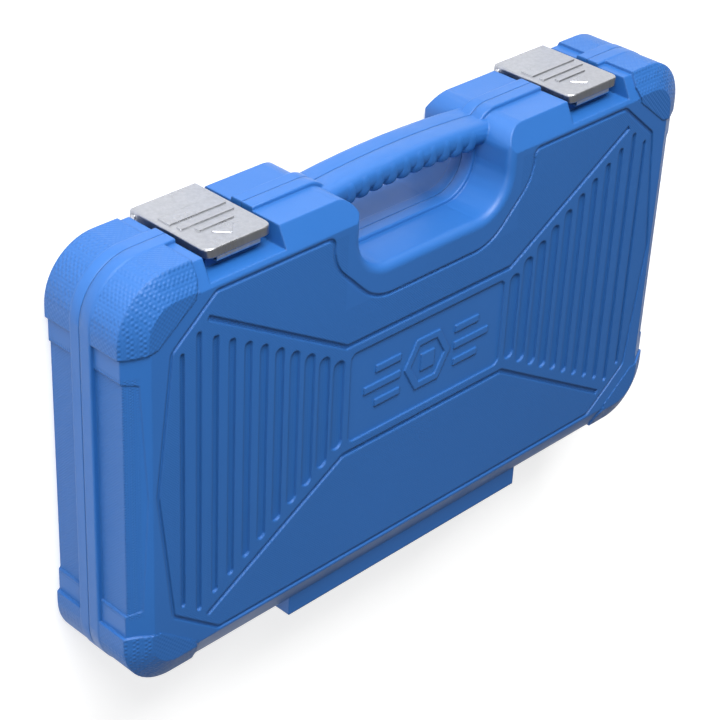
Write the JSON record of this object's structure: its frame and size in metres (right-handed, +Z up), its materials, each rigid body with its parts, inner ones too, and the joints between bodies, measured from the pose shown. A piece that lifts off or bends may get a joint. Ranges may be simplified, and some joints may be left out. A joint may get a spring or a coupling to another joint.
{
  "type": "socket wrench set in case",
  "caption": "Hinged plastic carrying case with a handle opening and two steel latches, holding ratchets, sockets and extensions in a moulded tray.",
  "frame": {"origin": "middle of the back face, on the surface that the case lies on", "axes": "+X along the case, +Y from the handle towards the hinge, +Z up out of the lid"},
  "size_m": [0.394, 0.2356, 0.0634],
  "materials": {
    "case_plastic": "blow-moulded blue plastic with a fine diamond grain on the pads and panels",
    "tray_plastic": "vacuum-formed black tray with a fine grain",
    "liner_foam": "dark grey soft foam sheet",
    "latch_steel": "stamped and nickel-plated sheet steel",
    "spring_steel": "bright spring steel strip",
    "pin_steel": "plain steel pin",
    "tool_chrome": "satin chrome-vanadium tool steel",
    "drive_steel": "hardened steel mechanism",
    "grip_rubber": "black soft-touch grip"
  },
  "bodies": {
    "base": {"base_shell": "case_plastic", "base_tray": "tray_plastic", "extension_half_long": "tool_chrome", "extension_half_short": "tool_chrome", "extension_quarter": "tool_chrome", "hinge_pin_left": "pin_steel", "hinge_pin_right": "pin_steel", "latch_pin_left": "pin_steel", "latch_pin_right": "pin_steel", "ratchet_half_body": "tool_chrome", "ratchet_half_grip": "grip_rubber", "ratchet_half_pawl": "drive_steel", "ratchet_quarter_body": "tool_chrome", "ratchet_quarter_grip": "grip_rubber", "ratchet_quarter_pawl": "drive_steel", "slide_bar": "tool_chrome", "socket_half_10mm": "tool_chrome", "socket_half_12mm": "tool_chrome", "socket_half_13mm": "tool_chrome", "socket_half_14mm": "tool_chrome", "socket_half_15mm": "tool_chrome", "socket_half_16mm": "tool_chrome", "socket_half_17mm": "tool_chrome", "socket_half_18mm": "tool_chrome", "socket_half_19mm": "tool_chrome", "socket_half_21mm": "tool_chrome", "socket_half_22mm": "tool_chrome", "socket_quarter_10mm": "tool_chrome", "socket_quarter_11mm": "tool_chrome", "socket_quarter_12mm": "tool_chrome", "socket_quarter_13mm": "tool_chrome", "socket_quarter_4mm": "tool_chrome", "socket_quarter_5mm": "tool_chrome", "socket_quarter_6mm": "tool_chrome", "socket_quarter_7mm": "tool_chrome", "socket_quarter_8mm": "tool_chrome", "socket_quarter_9mm": "tool_chrome", "spark_plug_socket_16mm": "tool_chrome", "spark_plug_socket_21mm": "tool_chrome", "spinner_grip": "grip_rubber", "spinner_shaft": "tool_chrome"},
    "lid": {"lid_shell": "case_plastic", "lid_liner": "liner_foam"},
    "latch_left": {"latch_cover_left": "latch_steel", "latch_hook_left": "spring_steel"},
    "latch_right": {"latch_cover_right": "latch_steel", "latch_hook_right": "spring_steel"},
    "half_drive": {"ratchet_half_drive": "drive_steel"},
    "half_lever": {"ratchet_half_lever": "drive_steel"},
    "half_button": {"ratchet_half_button": "drive_steel"},
    "quarter_drive": {"ratchet_quarter_drive": "drive_steel"},
    "quarter_lever": {"ratchet_quarter_lever": "drive_steel"},
    "quarter_button": {"ratchet_quarter_button": "drive_steel"},
    "slide_head": {"slide_head": "tool_chrome"}
  },
  "joints": [
    {"name": "lid_hinge", "type": "hinge", "parent": "base", "child": "lid", "pos_m": [0, 0.11705, 0.0315], "axis": [-1, 0, 0], "range_deg": [0, 180], "deforming": ["latch_hook_left", "latch_hook_right"]},
    {"name": "latch_left_hinge", "type": "hinge", "parent": "base", "child": "latch_left", "pos_m": [-0.1244, -0.1095, 0.0059], "axis": [1, 0, 0], "range_deg": [0, 100]},
    {"name": "latch_right_hinge", "type": "hinge", "parent": "base", "child": "latch_right", "pos_m": [0.1244, -0.1095, 0.0059], "axis": [1, 0, 0], "range_deg": [0, 100]},
    {"name": "half_drive_turn", "type": "hinge", "parent": "base", "child": "half_drive", "pos_m": [-0.158, 0.04, 0.0315], "axis": [0, 0, 1], "continuous": true},
    {"name": "half_lever_swing", "type": "hinge", "parent": "base", "child": "half_lever", "pos_m": [-0.158, 0.04, 0.0315], "axis": [0, 0, 1], "range_deg": [-20, 20]},
    {"name": "half_button_press", "type": "slide", "parent": "half_drive", "child": "half_button", "axis": [0, 0, -1], "range_m": [0, 0.0016], "stiffness_N_per_m": 600, "springref_m": -0.002},
    {"name": "quarter_drive_turn", "type": "hinge", "parent": "base", "child": "quarter_drive", "pos_m": [-0.165, -0.02, 0.0315], "axis": [0, 0, 1], "continuous": true},
    {"name": "quarter_lever_swing", "type": "hinge", "parent": "base", "child": "quarter_lever", "pos_m": [-0.165, -0.02, 0.0315], "axis": [0, 0, 1], "range_deg": [-20, 20]},
    {"name": "quarter_button_press", "type": "slide", "parent": "quarter_drive", "child": "quarter_button", "axis": [0, 0, -1], "range_m": [0, 0.0016], "stiffness_N_per_m": 600, "springref_m": -0.002},
    {"name": "slide_head_travel", "type": "slide", "parent": "base", "child": "slide_head", "axis": [1, 0, 0], "range_m": [-0.036, 0.036]}
  ]
}
